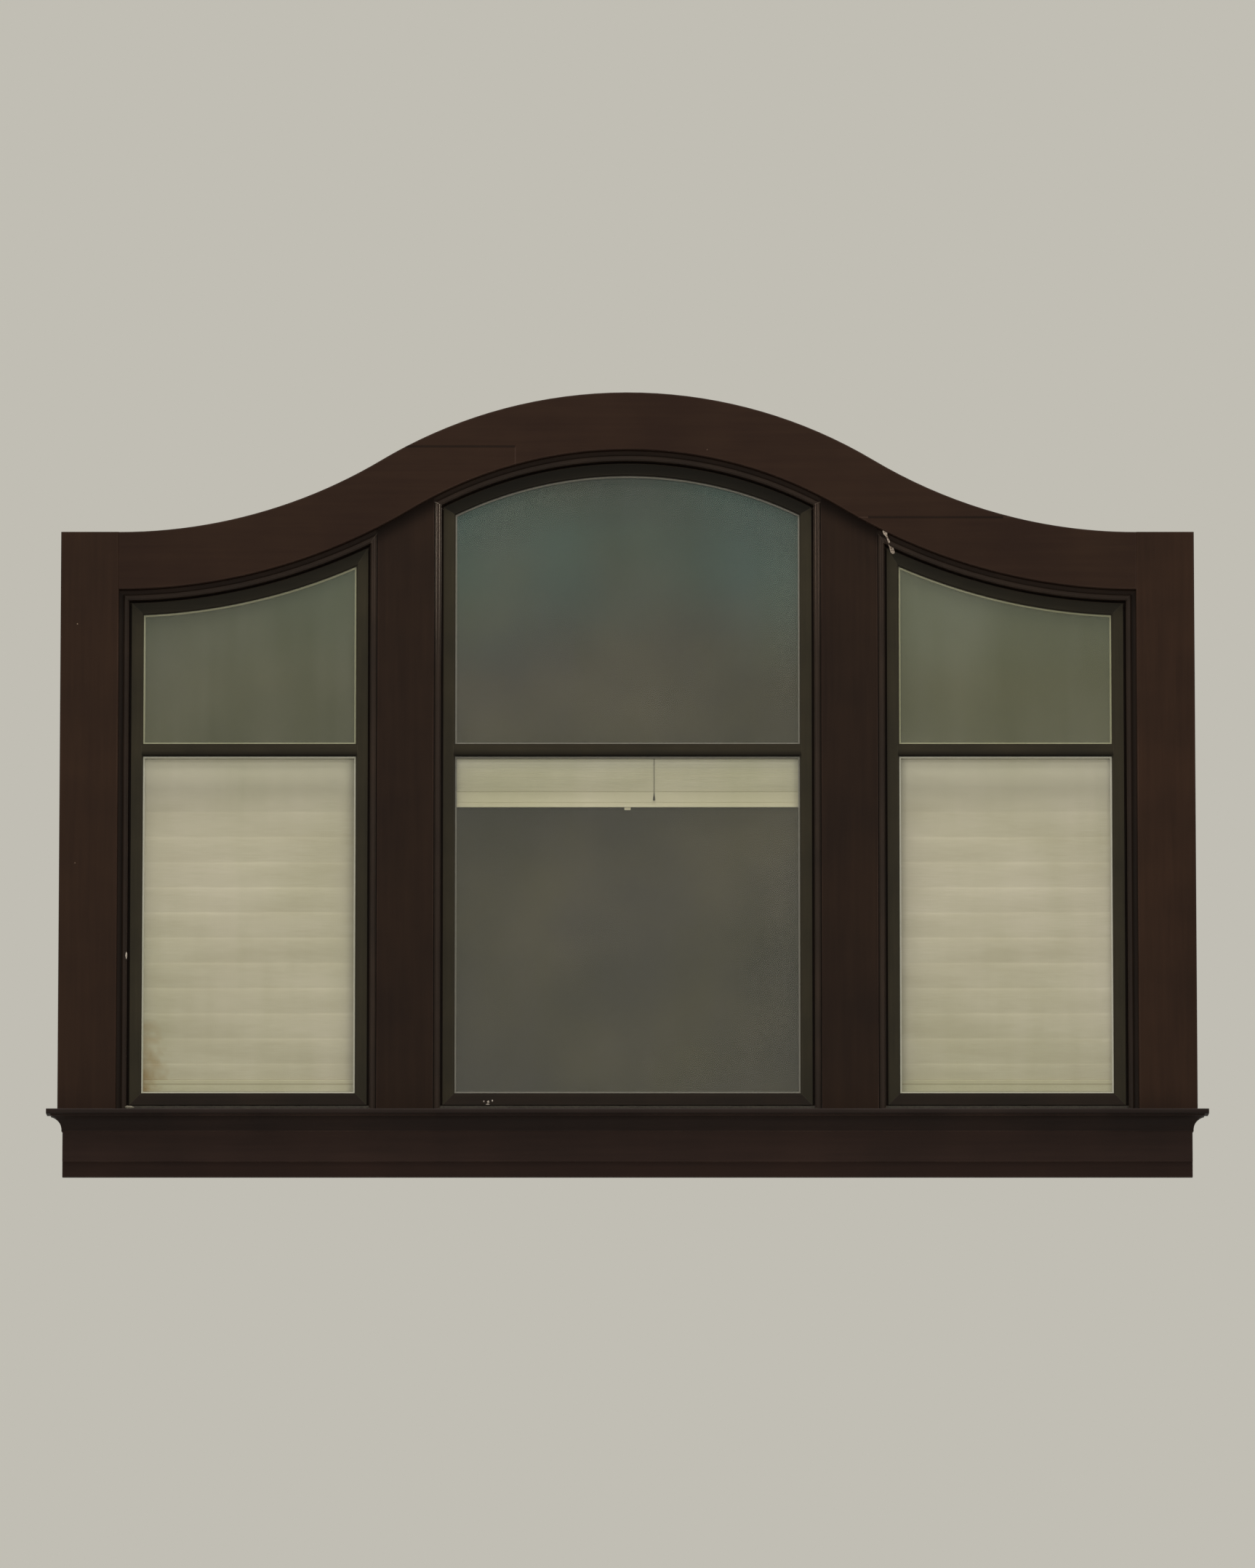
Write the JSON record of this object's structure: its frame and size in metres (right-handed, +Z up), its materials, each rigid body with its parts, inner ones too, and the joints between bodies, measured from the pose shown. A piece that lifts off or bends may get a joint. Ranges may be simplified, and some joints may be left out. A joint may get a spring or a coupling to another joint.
{
  "type": "three-light arched window",
  "caption": "Fixed window of side-by-side lights under a curved ogee head, with timber casing, sill board, sealed glass units and folding fabric shades behind the glass.",
  "frame": {"origin": "middle of the foot of the apron, on the wall face that the casing boards lie on", "axes": "+X along the window to the right as seen from outside, +Y through the wall towards the room, +Z up"},
  "size_m": [4.384, 0.23, 2.999],
  "materials": {
    "casing_paint": "dark brown paint, satin",
    "frame_paint": "dark brown paint, satin",
    "sash_paint": "dark olive brown paint, satin",
    "glass": "clear, polished",
    "smoked_glass": "smoked, polished",
    "shade_cloth": "plain woven cream cloth",
    "shade_rail": "matt cream",
    "head_rail": "matt cream paint",
    "cord": "plain braid",
    "knob": "dark, smooth"
  },
  "bodies": {
    "window": {"apron_board": "casing_paint", "apron_fillet": "casing_paint", "bed_mould": "casing_paint", "centre_cord_knob": "knob", "centre_frame_head": "frame_paint", "centre_frame_left_jamb": "frame_paint", "centre_frame_right_jamb": "frame_paint", "centre_frame_sill": "frame_paint", "centre_lower_glass": "glass", "centre_room_pane": "smoked_glass", "centre_sash_bar": "sash_paint", "centre_sash_bottom_rail": "sash_paint", "centre_sash_left_stile": "sash_paint", "centre_sash_right_stile": "sash_paint", "centre_sash_top_rail": "sash_paint", "centre_shade_cord": "cord", "centre_shade_fabric": "shade_cloth", "centre_shade_head_rail": "head_rail", "centre_upper_glass": "glass", "head_crown_board": "casing_paint", "head_left_board": "casing_paint", "head_right_board": "casing_paint", "left_frame_head": "frame_paint", "left_frame_left_jamb": "frame_paint", "left_frame_right_jamb": "frame_paint", "left_frame_sill": "frame_paint", "left_jamb_casing": "casing_paint", "left_lower_glass": "glass", "left_mullion_casing": "casing_paint", "left_mullion_post": "frame_paint", "left_room_pane": "smoked_glass", "left_sash_bar": "sash_paint", "left_sash_bottom_rail": "sash_paint", "left_sash_left_stile": "sash_paint", "left_sash_right_stile": "sash_paint", "left_sash_top_rail": "sash_paint", "left_shade_fabric": "shade_cloth", "left_shade_head_rail": "head_rail", "left_upper_glass": "glass", "right_frame_head": "frame_paint", "right_frame_left_jamb": "frame_paint", "right_frame_right_jamb": "frame_paint", "right_frame_sill": "frame_paint", "right_jamb_casing": "casing_paint", "right_lower_glass": "glass", "right_mullion_casing": "casing_paint", "right_mullion_post": "frame_paint", "right_room_pane": "smoked_glass", "right_sash_bar": "sash_paint", "right_sash_bottom_rail": "sash_paint", "right_sash_left_stile": "sash_paint", "right_sash_right_stile": "sash_paint", "right_sash_top_rail": "sash_paint", "right_shade_fabric": "shade_cloth", "right_shade_head_rail": "head_rail", "right_upper_glass": "glass", "sill_board": "casing_paint"},
    "left_rail": {"left_shade_bottom_rail": "shade_rail"},
    "centre_rail": {"centre_shade_bottom_rail": "shade_rail"},
    "right_rail": {"right_shade_bottom_rail": "shade_rail"}
  },
  "joints": [
    {"name": "left_shade_lift", "type": "slide", "parent": "window", "child": "left_rail", "axis": [0, 0, 1], "range_m": [0, 1.1], "deforming": ["left_shade_fabric"]},
    {"name": "centre_shade_lift", "type": "slide", "parent": "window", "child": "centre_rail", "axis": [0, 0, 1], "range_m": [-1.1, 0], "deforming": ["centre_shade_fabric"]},
    {"name": "right_shade_lift", "type": "slide", "parent": "window", "child": "right_rail", "axis": [0, 0, 1], "range_m": [0, 1.1], "deforming": ["right_shade_fabric"]}
  ]
}
